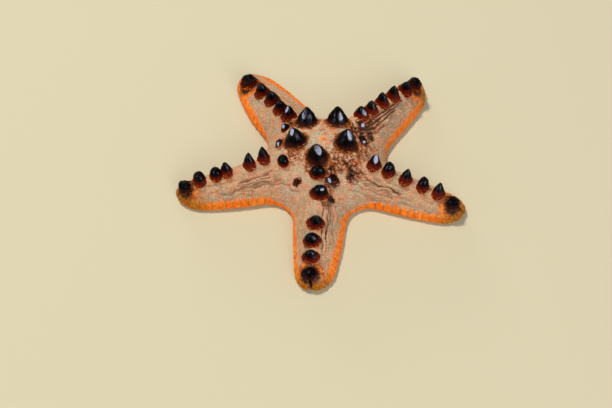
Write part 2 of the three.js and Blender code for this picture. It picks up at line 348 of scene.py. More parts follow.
# creases in the skin, for each arm: points of distance out and side offset, and strength
creases = {
    "left": [
        ([(39, 8.5), (49, 8.4), (62, 8.7)], 1),
        ([(35, 14.4), (41, 12.2), (48, 11.4), (62, 10.6)], 0.8),
        ([(32, 19.5), (35.4, 16), (43, 12.4), (52, 11.9), (68, 11.1)], 0.7),
        ([(41, 10), (52, 9.8), (64, 9.6)], 0.6),
        ([(54, 12.8), (66, 12), (79, 10.2)], 0.5),
        ([(60, 6.6), (72, 6), (84, 5)], 0.5),
    ],
    "near": [
        ([(31, -20.7), (35.1, -15.2)], 0.8),
        ([(33.5, 7), (42, 6.6), (50, 7.4), (60, 7.8)], 1.3),
        ([(45.2, 1.4), (53.8, 2.4), (63.2, 3), (81, 3.6)], 1.3),
        ([(40, 4.5), (47.1, 5.5), (54.5, 5.8), (72.9, 5.7)], 1.5),
        ([(45.4, 8.1), (56.1, 9.3), (70.3, 10.1)], 0.7),
    ],
    "right": [
        ([(28.4, -12.8), (32, -11), (39.7, -8.6)], 0.8),
        ([(38.9, -10), (47.1, -8.8), (54.6, -9.1), (63.6, -9.7)], 1.4),
        ([(31.8, -16.5), (35.5, -12.4), (41.6, -9.6)], 0.9),
        ([(37.3, -12.8), (44.1, -11.7), (52.4, -10.8), (58.1, -10.5)], 0.7),
        ([(33, -14.6), (41, -13.6), (50, -12.6), (60, -12)], 0.6),
        ([(54, -6.4), (66, -6.2), (81, -5.6)], 0.5),
        ([(60, -13.2), (72, -12), (86, -9.4)], 0.45),
        ([(31, -20.5), (36, -17.6), (44, -16), (53, -15.4)], 0.55),
    ],
    "far_left": [
        ([(45, 1), (56, 0), (70, 0.5)], 0.5),
        ([(38, -4), (52, -5.5), (66, -5)], 0.6),
    ],
    "far_right": [
        ([(31.9, -7.1), (41.4, -7.6), (54.1, -6.2), (65.5, -5.6), (76.2, -5.1)], 1.9),
        ([(36.4, -9.8), (46.9, -8.9), (57, -8), (66, -7)], 1.5),
        ([(35.2, -5.5), (43, -4.9), (50.2, -4.4), (60, -4.2), (70, -3.8)], 1.5),
        ([(33, -12.5), (42, -11.6), (52, -10.4)], 1),
        ([(35.2, -14), (35, -17), (34.6, -21)], 0.9),
        ([(44, -2.6), (46.5, -7.2)], 1),
        ([(54, -2.2), (56.5, -6.4)], 1),
        ([(64.5, -2.4), (67, -5.6)], 0.9),
    ],
}
# the slit at each tip, where the furrow ends
slits = {"near": [(97.5, -3.4), (101.7, -2.4), (105.2, -1.1)], "right": [(99, -1.6), (106.5, -0.4)],
         "far_right": [(100, -0.4), (107.5, 0.0)], "far_left": [(95, 3.0), (102.8, 0.3)],
         "left": [(96.5, 0.8), (102.5, 0.2)]}
# dark stains on the back, and painted shadows: the strong spot beside the near arm's first horn and the first
# four at the far right arm's root are painted shadows of horns and knobs; distance out, side offset, radius,
# strength
stainsAndShadows = {
    "right": [
        (28.2, -9.4, 2.8, 0.9), (32.3, -10.1, 2.2, 0.7), (29.1, -14.2, 2.6, 0.8), (22.4, -8.4, 2.6, 0.55),
        (21.5, -14.1, 2.8, 0.5), (27.9, 10, 3, 0.3), (36, -7.5, 2.4, 0.4),
    ],
    "far_right": [
        # the first four: painted shadow beside the knobs at the arm's root
        (36.4, -9.4, 2.2, 3), (35.6, -12.2, 2.2, 3), (30.6, -6.4, 2.4, 1.6), (27.6, -12.6, 2.2, 1.3),
        (30, -9.4, 4.6, 0.9), (25.7, -4.1, 4, 0.8), (40, -7, 4, 0.8), (46, -6, 3.4, 0.6),
        (33, -3, 3.4, 0.7), (20.6, -8, 4, 0.6),
    ],
    "near": [
        # the first: painted shadow of the arm's first horn
        (41.6, 6.8, 2.1, 2.6), (33, 6, 3.6, 0.8), (48, 4, 3, 0.5), (24, 6.5, 4.5, 0.8),
        (22, -8.5, 3.5, 0.5),
    ],
    "left": [
        (24, 3, 3.6, 0.4), (27, -7, 3, 0.3),
    ],
    "far_left": [
        (27, 9, 4.5, 0.8), (24, -4, 4, 0.4),
    ],
}
middleSpot = (1.0, 0.4, 2.6)  # the orange spot in the disc's middle: place and radius
# where dark veins run over the disc: place, radius, strength
veinPatches = [
    (9, -14, 7, 1), (19, -13, 8, 1), (27, -8, 7, 0.8), (22, -21, 7, 0.55),
    (29, 6, 7, 0.8), (-16, -13, 7, 0.6), (-24, 5, 7, 0.5), (2, 9, 8, 0.3),
]


def sphereToStar(points):
    # leads a ball's meridians to the outline: back, rounded rim, and a flat underside with its furrows
    angle = np.arctan2(points[:, 1], points[:, 0])
    down = np.arccos(np.clip(points[:, 2], -1, 1)) / np.pi
    floorReach = reach(outlineAngle, np.zeros(outlineCount))
    rim, floor = (np.interp(angle % (2 * np.pi), np.append(outlineAngle, 2 * np.pi), np.append(far, far[0]))
                  for far in (outlineReach, floorReach))
    backEnd, rimEnd = skin["backEnd"], skin["rimEnd"]
    back, side, under = down <= backEnd, (down > backEnd) & (down < rimEnd), down >= rimEnd
    share = np.clip(down / backEnd, 0, 1)
    r = rim * (0.6 * share**0.7 + 0.4 * np.sin(share * np.pi / 2))
    sideZ = body["rimHeight"] * (1 - (down[side] - backEnd) / (rimEnd - backEnd))
    r[side] = reach(angle[side], sideZ)
    r[under] = floor[under] * (1 - down[under]) / (1 - rimEnd)
    x, y, z = r * np.cos(angle), r * np.sin(angle), np.zeros(len(r))
    z[back] = heightOver(x[back], y[back])
    z[side] = sideZ
    z[under] = trench(x[under], y[under])
    return np.stack([x, y, z], 1)


def skinField(points):
    x, y, z = points.T
    depth = skin["coatDepth"]
    return smoothMax(bodyField(x, y, z) + depth, depth + trench(x, y) - z, skin["edge"])


def lineDistance(x, y, line):
    best = np.full(len(x), 1e9)
    for (ax, ay), (bx, by) in zip(line, line[1:]):
        dx, dy = bx - ax, by - ay
        s = np.clip(((x - ax) * dx + (y - ay) * dy) / (dx * dx + dy * dy), 0, 1)
        best = np.minimum(best, np.hypot(x - ax - s * dx, y - ay - s * dy))
    return best


def wobble(points, size, seed=0.0):
    # smooth noise from -1 to 1, with lumps of about that size
    shift = Vector((seed * 17.3, seed * 5.1, seed * 9.7))
    return np.array([noise.noise(Vector(p) / size + shift) for p in points])


def hornGap(horn, points):
    # distance from a horn's foot: square to its axis, and further for what lies well below it
    x, y, z = (points - np.array([horn["x"], horn["y"], horn["z"]])).T
    below = np.minimum(x * horn["axis"][0] + y * horn["axis"][1] + z * horn["axis"][2] + 1.2, 0)
    c, s = math.cos(horn["turn"]), math.sin(horn["turn"])
    flat = np.hypot(x * c + y * s, (y * c - x * s) / horn["across"])
    return np.hypot(flat, 0.8 * below) - horn["radius"]


def lieOf(points, normals):
    # where each skin point is: arm, way along, marginal plate, horns near by
    x, y, z = points.T
    which = np.argmin(np.stack([armField(arm, x, y, z) for arm in arms.values()], 1), 1)
    u, v = alongOwn(which, x, y)
    tree = kdtree.KDTree(outlineCount)
    for i, (a, b) in enumerate(outline):
        tree.insert((a, b, 0), i)
    tree.balance()
    nearest = np.array([tree.find((a, b, 0))[1] for a, b in zip(x, y)])
    lengths = np.array([arm["length"] for arm in arms.values()])
    return {"arm": which, "u": u, "v": v, "share": u / lengths[which],
            "plate": plateCount[nearest], "edgeShare": plateShare[nearest],
            "gaps": np.array([hornGap(horn, points) for horn in horns]),
            "under": smoothStep(0.45, 0.85, -normals[:, 2]) * (z < 5.5)}


def spots(x, y, places):
    # the strongest of some round spots: place, radius and strength
    return np.max([strength * bell(np.hypot(x - a, y - b), radius) for a, b, radius, strength in places], 0)


def armLine(name, line):
    return [armPlace(arms[name], *point) for point in line]


def bandMarks(points, lie):
    # the margin's toothed upper edge, and the seams between its plates
    edge = lie["edgeShare"]
    peak = 1 - np.abs(2 * (lie["plate"] % 1) - 1)
    top = margin["webTop"] + (margin["top"] - margin["webTop"]) * smoothStep(0.02, 0.22, edge)
    tooth = margin["tooth"] * (0.3 + 0.7 * smoothStep(0.05, 0.25, edge))
    tooth = tooth * (1 - 0.6 * smoothStep(0.82, 0.96, edge))
    lift = np.array([margin["lift"][name] for name in arms])[lie["arm"], (lie["v"] > 0).astype(int)]
    top += lift * smoothStep(0.08, 0.4, edge)
    bandEdge = top + tooth * peak**1.15 - points[:, 2] + 0.45 * wobble(points, 1.8, 3)
    seam = bell(margin["pitch"] * peak / 2, margin["seam"]) * (1 - 0.7 * smoothStep(0.85, 0.97, edge))
    return bandEdge, seam


def creaseMarks(points):
    # the creases, broken and a little bent, and the wrinkled zone along each
    x, y = points[:, 0], points[:, 1]
    nearX, nearY = (values + 1.3 * wobble(points, 6.5, seed) + 0.45 * wobble(points, 2.2, seed + 1)
                    for values, seed in ((x, 1), (y, 12)))
    broken = 0.95 + 0.5 * wobble(points, 5.0, 4)
    crease, zone = np.zeros(len(x)), np.zeros(len(x))
    for name, rows in creases.items():
        for line, strength in rows:
            d = lineDistance(nearX, nearY, armLine(name, line))
            crease = np.maximum(crease, strength * broken * bell(d, skin["creaseWidth"]))
            zone = np.maximum(zone, strength * bell(d, skin["zoneWidth"]))
    return crease, zone


def hornMarks(lie):
    # colour round the horns' feet: skirts at the great ones, soot and a blush at the tips, else rings
    skirt, soot, blush, ring = np.zeros((4, len(lie["u"])))
    for horn, gap in zip(horns, lie["gaps"]):
        out = np.maximum(gap, 0)
        if horn["kind"] == "great":
            skirt = np.maximum(skirt, bell(out, 2.6))
        elif horn["tip"]:
            soot = np.maximum(soot, bell(out, 2.8))
            inner = smoothStep(horn["reach"] + 4, horn["reach"] - 3, lie["u"])
            blush = np.maximum(blush, 1.1 * bell(out, 6.5) * inner)
        elif horn["small"]:
            ring = np.maximum(ring, 0.7 * bell(out, 1.0))
        else:
            blush = np.maximum(blush, 0.6 * bell(out, 0.8))
    return skirt, soot, blush, ring


def marks(points, lie):
    # the skin's markings as numbers on each point, for relief and for colour
    x, y, z = points.T
    back = 1 - lie["under"]
    bandEdge, seam = bandMarks(points, lie)
    crease, zone = creaseMarks(points)
    skirt, soot, blush, ring = hornMarks(lie)
    slitLines = [armLine(name, line) for name, line in slits.items()]
    slit = np.max([bell(lineDistance(x, y, line), skin["slitWidth"]) for line in slitLines], 0)
    # stains, and painted shadows cast by some horns and knobs
    stainAndShadowSpots = [(*armPlace(arms[name], u, v), *size) for name, rows in stainsAndShadows.items() for u, v, *size in rows]
    a, b, radius = middleSpot
    blush = np.maximum(blush, 1.3 * bell(np.hypot(x - a, (y - b) * 1.6), radius))
    start, most = np.array([margin["mustard"][name] for name in arms])[lie["arm"]].T
    onBack = {"zone": zone, "stainAndShadow": np.maximum(spots(x, y, stainAndShadowSpots), ring), "blush": blush, "skirt": skirt,
              "soot": soot, "veins": spots(x, y, veinPatches),
              "net": np.exp(-((np.hypot(x - 2, y + 1) / 34) ** 4))}
    return {
        "bandEdge": bandEdge, "seam": seam, "slit": slit, "crease": np.maximum(crease * back, slit),
        "streak": wobble(np.stack([lie["u"] * 0.13, lie["v"] * 0.75, z * 0.3], 1), 1.0, 7),
        "olive": most * smoothStep(start, start + 0.14, lie["share"]) * smoothStep(20.0, 9.0, z),
        "under": lie["under"], "groove": smoothStep(0.4, 3.0, trench(x, y)) * lie["under"],
        # the mouth's middle, darkened as painted shade
        "mouthShade": bell(np.hypot(x, y), 4.2) * lie["under"],
        **{key: values * back for key, values in onBack.items()},
    }


def relief(points, lie, mark):
    # how far each point stands out from the smooth body, in mm
    back = 1 - lie["under"]
    band = smoothStep(-1.0, 0.8, mark["bandEdge"]) * back
    plates = margin["swell"] * np.sin(np.pi * (lie["plate"] % 1)) ** 0.7
    plates = plates - margin["seamDepth"] * mark["seam"] - margin["sink"]
    lift = band * (plates - margin["rowDepth"] * bell(points[:, 2] - margin["rowHeight"], margin["rowWidth"]))
    lumps = 0.6 * wobble(points, 7.0, 5) + 0.5 * wobble(points, 2.6, 6)
    lift += back * skin["lumps"] * lumps * (1 - 0.6 * band)
    lift += skin["wrinkle"] * mark["zone"] * mark["streak"]
    lift -= skin["creaseDepth"] * (mark["crease"] - 0.25 * mark["zone"])
    lift -= skin["slit"] * mark["slit"]
    for horn, gap in zip(horns, lie["gaps"]):
        high = skin["collar"] * horn["radius"] / 4.5
        lift += back * high * np.exp(-(np.maximum(gap, 0) / (0.28 * horn["radius"])))
        lift -= back * skin["socket"] * smoothStep(-0.8, -2.2, gap)
    lift += (mark["net"] * 0.25 + mark["skirt"] * 0.35 + mark["soot"] * 0.5) * wobble(points, 1.7, 9)
    return lift


def setMarks(mesh, values):
    for name, value in values.items():
        mesh.attributes.new(name, "FLOAT", "POINT").data.foreach_set("value", value.astype(np.float32))


def readAll(items, key, width=1, kind=float):
    # one property of every point, loop or face
    values = np.zeros(len(items) * width, kind)
    items.foreach_get(key, values)
    return values.reshape(-1, width) if width > 1 else values


def newObject(name, data):
    made = bpy.data.objects.new(name, data)
    bpy.context.scene.collection.objects.link(made)
    return made


def meshOf(name, bm):
    mesh = bpy.data.meshes.new(name)
    bm.to_mesh(mesh)
    bm.free()
    return mesh


def spun(bm, profile, steps):
    # a row of (radius, height) points spun round the upright axis; gives back the new points
    old = set(bm.verts)
    row = [bm.verts.new((r, 0, h)) for r, h in profile]
    edges = [bm.edges.new(pair) for pair in zip(row, row[1:])]
    bmesh.ops.spin(bm, geom=row + edges, axis=(0, 0, 1), cent=(0, 0, 0), steps=steps,
                   angle=2 * math.pi, use_merge=True)
    bmesh.ops.remove_doubles(bm, verts=[v for v in bm.verts if v not in old], dist=1e-4)
    return [v for v in bm.verts if v not in old]


def addObject(name, mesh, slot, *nodes):
    piece = newObject(name, mesh)
    mesh.polygons.foreach_set("use_smooth", np.ones(len(mesh.polygons), bool))
    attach(piece, "root")
    if nodes:
        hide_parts(*nodes)
    return piece


def unrolled(points, which, u, v):
    # how far across each point lies when its arm's skin is rolled out flat
    across = np.zeros(len(points))
    for i, arm in enumerate(arms.values()):
        here = which == i
        t = np.clip(u[here] / arm["length"], 0, 1)
        fall = np.maximum(ridge(arm, t) - points[here, 2], 0)
        side = np.where(v[here] < 0, -1.0, 1.0)
        across[here] = 0.8 * v[here] + 0.55 * side * fall * smoothStep(0, 3, np.abs(v[here]))
    return across


# the baked map: an arm's strip and how far behind the middle it starts, in mm, and the copies' patches
mapRoom = {"halfStrip": 42.0, "run": 150.0, "behind": 34.0, "coatWide": 96.0, "floorWide": 260.0,
           "hornCells": 7, "patchHalf": 0.0015}


def bakeMap(mesh, points, lie):
    # ten strips: five backs above five undersides
    loops = readAll(mesh.loops, "vertex_index", kind=np.int64)
    starts, totals = (readAll(mesh.polygons, key, kind=np.int64) for key in ("loop_start", "loop_total"))
    first = loops[starts]
    faceArm = np.repeat(lie["arm"][first], totals)
    faceUnder = np.repeat(lie["under"][first] > 0.5, totals)
    place = points[loops]
    u, v = alongOwn(faceArm, place[:, 0], place[:, 1])
    across = np.where(faceUnder, v * 1.25, unrolled(place, faceArm, u, v))
    uv = np.stack([(faceArm + 0.5 + np.clip(across / mapRoom["halfStrip"], -1, 1) * 0.48) / len(arms),
                   (u + mapRoom["behind"]) / mapRoom["run"] * 0.49 + np.where(faceUnder, 0.0, 0.5)], 1)
    mesh.uv_layers.new(name="OFBake").data.foreach_set("uv", uv.astype(np.float32).ravel())


def evenStar():
    # a ball led to the star's shape, then remeshed in even faces
    bm = bmesh.new()
    bmesh.ops.create_uvsphere(bm, u_segments=skin["round"], v_segments=skin["rows"], radius=1)
    placed = toFrame(sphereToStar(np.array([v.co for v in bm.verts])))
    for vertex, place in zip(bm.verts, placed):
        vertex.co = place
    bmesh.ops.remove_doubles(bm, verts=bm.verts, dist=0.01 * mm)
    bmesh.ops.recalc_face_normals(bm, faces=bm.faces)
    blank = newObject("rough", meshOf("rough", bm))
    remesh = blank.modifiers.new("even", "REMESH")
    remesh.mode = "VOXEL"
    remesh.voxel_size = skin["voxel"]
    remesh.use_smooth_shade = True
    mesh = bpy.data.meshes.new_from_object(blank.evaluated_get(bpy.context.evaluated_depsgraph_get()))
    mesh.name = "skin"
    bpy.data.objects.remove(blank)
    return mesh


def makeSkin():
    mesh = evenStar()
    points = toStar(readAll(mesh.vertices, "co", 3))
    for _ in range(5):  # each round brings the points nearer to the field's surface
        value, slope = slopeOf(skinField, points)
        move = slope * (value / np.maximum((slope**2).sum(1), 0.05))[:, None]
        points -= move * np.minimum(1, 1.5 / np.maximum(np.linalg.norm(move, axis=1), 1e-9))[:, None]
    normals = slopeOf(skinField, points)[1]
    normals /= np.linalg.norm(normals, axis=1)[:, None]
    lie = lieOf(points, normals)
    mark = marks(points, lie)
    points += normals * relief(points, lie, mark)[:, None]
    points[:, 2] = np.maximum(points[:, 2], skin["lowest"])
    mesh.vertices.foreach_set("co", toFrame(points).ravel())
    mesh.update()
    setMarks(mesh, mark)
    bakeMap(mesh, points, lie)
    piece = addObject("skin", mesh, "skin", "disc", *("arm_" + name for name in arms))
    print("skin:", len(mesh.vertices), "points,", len(mesh.polygons), "faces")
    return piece, points, lie, mark


skinPiece, skinPoints, skinLie, skinMark = makeSkin()


def tone(*screen):
    # a screen colour as a linear one
    return tuple(((c / 255 + 0.055) / 1.055) ** 2.4 if c > 10 else c / 3294 for c in screen) + (1.0,)


tones = {
    # the skin
    "tan": tone(214, 176, 135), "grey": tone(192, 170, 140), "pink": tone(228, 158, 122),
    "cream": tone(246, 232, 204), "shade": tone(138, 99, 67), "vein": tone(226, 122, 56),
    "brown": tone(82, 42, 16), "soot": tone(20, 9, 4), "stone": tone(206, 188, 156),
    # the creases' painted shade
    "creaseShade": tone(104, 62, 36),
    # its margin and tips
    "orange": tone(252, 140, 38), "flame": tone(250, 116, 20), "amber": tone(255, 180, 84),
    "mustard": tone(198, 128, 18), "ochre": tone(158, 82, 14), "rust": tone(164, 70, 16),
    # the horns
    "black": tone(6, 2, 3), "umber": tone(58, 16, 4), "red": tone(88, 16, 2), "clay": tone(152, 68, 16),
    "foot": tone(208, 96, 20), "cocoa": tone(90, 36, 10), "dust": tone(204, 132, 70),
    # the worn facets' paler tone, tinted lavender as a painted reflection
    "wearAndSheen": tone(40, 35, 46),
    # the underside
    "pale": tone(236, 200, 160), "paleSpot": tone(246, 224, 194), "stalk": tone(236, 196, 138),
    "sucker": tone(222, 150, 92),
}


class Wire:
    # a number that runs between nodes; sums on it add Math nodes
    def __init__(self, finish, socket):
        self.finish, self.socket = finish, socket

    def maths(self, operation, *values):
        return self.finish.node("ShaderNodeMath", {"operation": operation}, dict(enumerate(values)))

    def __add__(self, other):
        return self.maths("ADD", self, other)

    def __sub__(self, other):
        return self.maths("SUBTRACT", self, other)

    def __rsub__(self, other):
        return self.maths("SUBTRACT", other, self)

    def __mul__(self, other):
        return self.maths("MULTIPLY", self, other)

    def most(self, other):
        return self.maths("MAXIMUM", self, other)

    __radd__ = __add__
    __rmul__ = __mul__


class Finish:
    # one material, built round a Principled shader; a colour may be given by its name in tones
    def __init__(self, name, **constants):
        self.material = bpy.data.materials.new(name)
        self.material.use_nodes = True
        self.tree = self.material.node_tree
        self.shader = self.tree.nodes["Principled BSDF"]
        self.finish(**constants)
        self.place = self.node("ShaderNodeTexCoord", {}, {}, "Object")

    def node(self, kind, settings, inputs, output=0):
        made = self.tree.nodes.new(kind)
        for key, value in settings.items():
            setattr(made, key, value)
        for key, value in inputs.items():
            self.feed(made.inputs[key], value)
        return Wire(self, made.outputs[output])

    def feed(self, socket, value):
        if isinstance(value, Wire):
            self.tree.links.new(value.socket, socket)
        else:
            socket.default_value = tones[value] if isinstance(value, str) else value

    def finish(self, **inputs):
        for socket, value in inputs.items():
            self.feed(self.shader.inputs[socket.replace("_", " ")], value)
        return self.material

    def mark(self, name):
        return self.node("ShaderNodeAttribute", {"attribute_name": name}, {}, "Fac")

    def noise(self, size, detail=2.0, rough=0.5, output=0):
        # size is the lump's width in mm; output 1 is three numbers at once
        return self.node("ShaderNodeTexNoise", {}, {
            "Vector": self.place, "Scale": 1 / (size * mm), "Detail": detail, "Roughness": rough}, output)

    def cells(self, size, place=None, feature="F1"):
        return self.node("ShaderNodeTexVoronoi", {"feature": feature},
                         {"Vector": place or self.place, "Scale": 1 / (size * mm)}, "Distance")

    def network(self, size, bendSize, bend):
        # distance from the edges of cells whose place is pushed about by noise, so that no edge is straight
        centred = self.node("ShaderNodeVectorMath", {"operation": "SUBTRACT"},
                            {0: self.noise(bendSize, output=1), 1: (0.5, 0.5, 0.5)})
        bent = self.node("ShaderNodeVectorMath", {"operation": "MULTIPLY_ADD"},
                         {0: centred, 1: (bend * mm,) * 3, 2: self.place})
        return self.cells(size, bent, "DISTANCE_TO_EDGE")

    def step(self, low, high, value):
        return self.node("ShaderNodeMapRange", {"interpolation_type": "SMOOTHSTEP"},
                         {"Value": value, "From Min": low, "From Max": high})

    def blend(self, share, first, second):
        return self.node("ShaderNodeMix", {"data_type": "RGBA"}, {0: share, 6: first, 7: second}, 2)

    def layers(self, ground, *rows):
        # each row lays its share of a colour over what is there
        for share, colour in rows:
            ground = self.blend(share, ground, colour)
        return ground

    def bump(self, height, strength, distance):
        return self.node("ShaderNodeBump", {},
                         {"Height": height, "Strength": strength, "Distance": distance * mm})


def skinFinish(name, coat):
    # the same markings on skin and coat; the coat's own tint tells granule from granule
    finish = Finish(name, Specular_IOR_Level=0.07, Coat_Roughness=0.2, Coat_IOR=1.45)
    mark, step, blend, layers = finish.mark, finish.step, finish.blend, finish.layers
    patch, small = finish.noise(4.5, 3.0), finish.noise(1.6, 3.0, 0.6)
    fine, grains = finish.noise(0.8, 2.0, 0.6), finish.cells(1.15)
    web, threads = finish.network(3.5, 2.2, 5.0), finish.network(2.6, 1.6, 2.2)
    streak, zone, net, veins, stainAndShadow = (mark(key) for key in ("streak", "zone", "net", "veins", "stainAndShadow"))
    tint = mark("tint") if coat else small
    ground = layers(
        blend(step(0.42, 0.60, finish.noise(14)), "tan", "grey"),
        (step(0.44, 0.64, patch) * 0.8, "pink"),
        (step(0.48, 0.30, small) * 0.5, "shade"),
        (step(0.05, 0.55, streak) * 0.3, "shade"),
    )
    plate = blend(step(0.50, 0.70, patch) * 0.5, blend(step(0.35, 0.65, small), "orange", "flame"), "amber")
    olive = blend(step(0.40, 0.60, small), "mustard", "ochre")
    if coat:
        ground = layers(
            ground,
            (step(0.74, 0.92, tint) * 0.45, "cream"),
            (step(0.26, 0.10, tint) * 0.55, "shade"),
            (step(0.50, 0.54, tint) * step(0.66, 0.60, tint) * 0.45, "vein"),
        )
        plate = layers(plate, (step(0.80, 0.95, tint) * 0.5, "amber"), (step(0.20, 0.05, tint) * 0.4, "rust"))
        olive = blend(step(0.72, 0.90, tint) * 0.5, olive, "amber")
    else:
        # the bare skin between the granules and in the creases is darkened: painted shade
        ground = blend(0.3, ground, "shade")
    plate = layers(plate, (mark("olive"), olive), (mark("seam") * 0.5, "rust"))
    # veins, stains and painted shadows run along the edges of the cells, and fill them where they are strong
    run = stainAndShadow * 0.31 + veins * 0.12 + streak * stainAndShadow * 0.2 + (small - 0.5) * 0.2 + (patch - 0.5) * 0.34
    run = run - step(0.35, 0.0, stainAndShadow.most(veins)) * 0.4 - web
    crease = mark("crease") + (small - 0.5) * 0.4
    skirt = mark("skirt") + (tint - 0.5) * 0.3
    soot = mark("soot") + (small - 0.5) * 0.9 + (tint - 0.5) * 0.5
    warm = blend(step(0.45, 0.55, small), "ochre", "vein")
    blush = blend(step(0.4, 0.6, patch), "orange", "rust")
    underneath = layers(
        blend(step(0.4, 0.65, small), "pale", "paleSpot"),
        (step(0.45, 0.7, patch) * 0.5, "amber"),
        (mark("groove") * 0.6, "vein"),
        # dark brown in the mouth's middle: painted shade of the opening
        (mark("mouthShade"), "brown"),
    )
    ground = layers(
        ground,
        # mottling on the disc
        (step(0.20, 0.05, threads) * net * step(0.42, 0.56, patch) * 0.45, "vein"),
        (step(0.58, 0.44, patch) * net * 0.7, "stone"),
        (step(0.58, 0.68, small) * net * 0.5, "cream"),
        (step(0.14, 0.03, threads) * step(0.62, 0.45, patch) * net * 0.45, "shade"),
        # dark branching veins, stains and painted shadows
        (step(0.50, 0.62, patch) * veins * 0.55, "vein"),
        (step(-0.22, -0.02, run) * 0.75, "rust"),
        (step(-0.02, 0.08, run) * 0.9, "brown"),
        (step(0.08, 0.22, run), "soot"),
        # wrinkles, and creases darkened with painted shade
        (step(0.1, 0.7, zone * (streak + 0.15)) * 0.35, "shade"),
        (step(0.0, 0.5, zone * (0.0 - streak)) * 0.4, "pink"),
        (step(0.15, 0.7, crease) * 0.55, "creaseShade"),
        (step(0.7, 1.2, crease) * 0.8, "brown"),
        # orange round the horns' feet, dark and mottled at the great ones
        (step(0.25, 0.70, skirt + (patch - 0.5) * 2.2) * 0.85, warm),
        (step(0.60, 0.95, skirt + (small - 0.5) * 2.4 + (patch - 0.5) * 0.8) * 0.9, "brown"),
        (step(0.95, 1.20, skirt + (small - 0.5) * 2.2), "soot"),
        # the mustard tips, then the margin: orange plates with dark seams
        (mark("olive") * 0.85, olive),
        (step(0.30, 0.80, mark("blush") + small * 0.8 - 0.4) * 0.85, blush),
        (step(-1.0, 1.0, mark("bandEdge") + (small - 0.5) * 2.6), plate),
        # dark round the tips' mounds
        (step(0.10, 0.55, soot) * 0.6, "ochre"),
        (step(0.50, 0.85, soot) * 0.9, "brown"),
        (step(0.90, 1.15, soot), "soot"),
        (mark("under"), underneath),
        # the slits painted black: painted shade in the grooves
        (step(0.30, 0.75, mark("slit")), "soot"),
    )
    return finish.finish(Base_Color=ground, Roughness=0.45 + (fine - 0.5) * 0.3,
                         Normal=finish.bump(fine * 0.5 + step(0.5, 0.1, grains), 0.45, 0.25),
                         Coat_Weight=step(0.55, 0.75, patch) * 0.06)


skinPiece.data.materials.append(skinFinish("granular skin", False))
coatFinish = skinFinish("granules", True)


def hornFinish(name, foot, base, middle, levels, rough, gloss):
    # black over a dark red foot, and wet; levels are where each colour starts and ends on the way up
    finish = Finish(name, Specular_IOR_Level=0.06 * gloss, Coat_Roughness=0.12, Coat_IOR=1.45)
    step = finish.step
    small, streak = finish.noise(1.2, 3.0, 0.6), finish.noise(3.0)
    tint, wearAndSheen = finish.mark("tint"), finish.mark("wearAndSheen")
    rise = finish.mark("rise") + (small - 0.5) * 0.3 + (streak - 0.5) * 0.3
    colour = finish.layers(
        finish.blend(step(0.38, 0.55, small + tint * 0.3 - 0.15), base, foot),
        (step(0.80, 0.95, tint) * 0.6, "dust"),
        (step(levels[0], levels[1], rise), middle),
        (step(levels[2], levels[3], rise), "black"),
        # worn facets paler and lavender: partly wear, partly a painted reflection
        (wearAndSheen * step(0.3, 0.5, small), "wearAndSheen"),
    )
    matte = rough + step(0.5, 0.15, rise) * 0.3
    return finish.finish(Base_Color=colour, Normal=finish.bump(streak, 0.2, 0.4),
                         Roughness=matte * (1 - wearAndSheen * 0.4) + (small - 0.5) * 0.1,
                         Coat_Weight=(step(0.35, 0.7, rise) * 0.15 * gloss).most(wearAndSheen * 0.45))


def addHorn(bm, horn, steps, rows, blunt, facet):
    # a profile of points, spun round its axis, then leant, set on the body and worn flat on one side
    floats = bm.verts.layers.float
    rise, wearAndSheen = (floats.get(key) or floats.new(key) for key in ("rise", "wearAndSheen"))
    radius, height = horn["radius"], horn["height"]
    flare = hornShape["flare"] * (0.5 if horn["kind"] == "great" else 1)
    profile = [(radius * hornShape["root"], -hornShape["sink"])]
    for i in range(rows + 1):
        s = i / rows
        sharp, full = ((1 - s**shoulder) ** fullness for shoulder, fullness in hornShape["sharpAndFull"])
        width = radius * (sharp + (full - sharp) * blunt)
        foot = flare * radius * math.exp(-s * height / (hornShape["flareReach"] * radius + 0.5))
        profile.append((max(width + foot, 0.0) if i < rows else 0.0, s * height))
    fresh = spun(bm, profile, steps)
    across = Matrix.Rotation(horn["turn"], 4, "Z") @ Matrix.Diagonal((1, horn["across"], 1, 1))
    lean = Vector((0, 0, 1)).rotation_difference(Vector(horn["axis"])).to_matrix().to_4x4()
    seed = Vector((horn["x"], horn["y"], 0)) * 3
    rough = hornShape["rough"][horn["small"] or horn["tip"]]
    sway = hornShape["sway"] * height
    for vertex in fresh:
        s = vertex.co.z / height
        vertex[rise] = s
        out = Vector((vertex.co.x, vertex.co.y, 0))
        lump = noise.noise(vertex.co / (0.6 * radius) + seed) * rough
        lump += noise.noise(vertex.co / 1.4 + seed) * 0.03
        vertex.co += out * lump * min(1.0, max(s, 0.0) * 3 + 0.1) * (s > 0)
        vertex.co.x += sway * math.sin(seed.x) * max(s, 0) ** 2
        vertex.co.y += sway * math.cos(seed.y) * max(s, 0) ** 2
    stand = Matrix.Translation((horn["x"], horn["y"], horn["z"]))
    bmesh.ops.transform(bm, verts=fresh, matrix=stand @ lean @ across)
    if facet:
        turn, tilt, depth = math.radians(facet[0]), math.radians(facet[1]), facet[2]
        face = Vector((math.cos(turn) * math.cos(tilt), math.sin(turn) * math.cos(tilt), math.sin(tilt)))
        peak = max(v.co.dot(face) for v in fresh if v[rise] > 0.5)
        for vertex in fresh:
            over = vertex.co.dot(face) - (peak - depth)
            if over > 0 and vertex[rise] > 0.3:
                vertex.co -= face * over * hornShape["wear"]
                vertex[wearAndSheen] = min(1.0, over / (0.35 * depth))


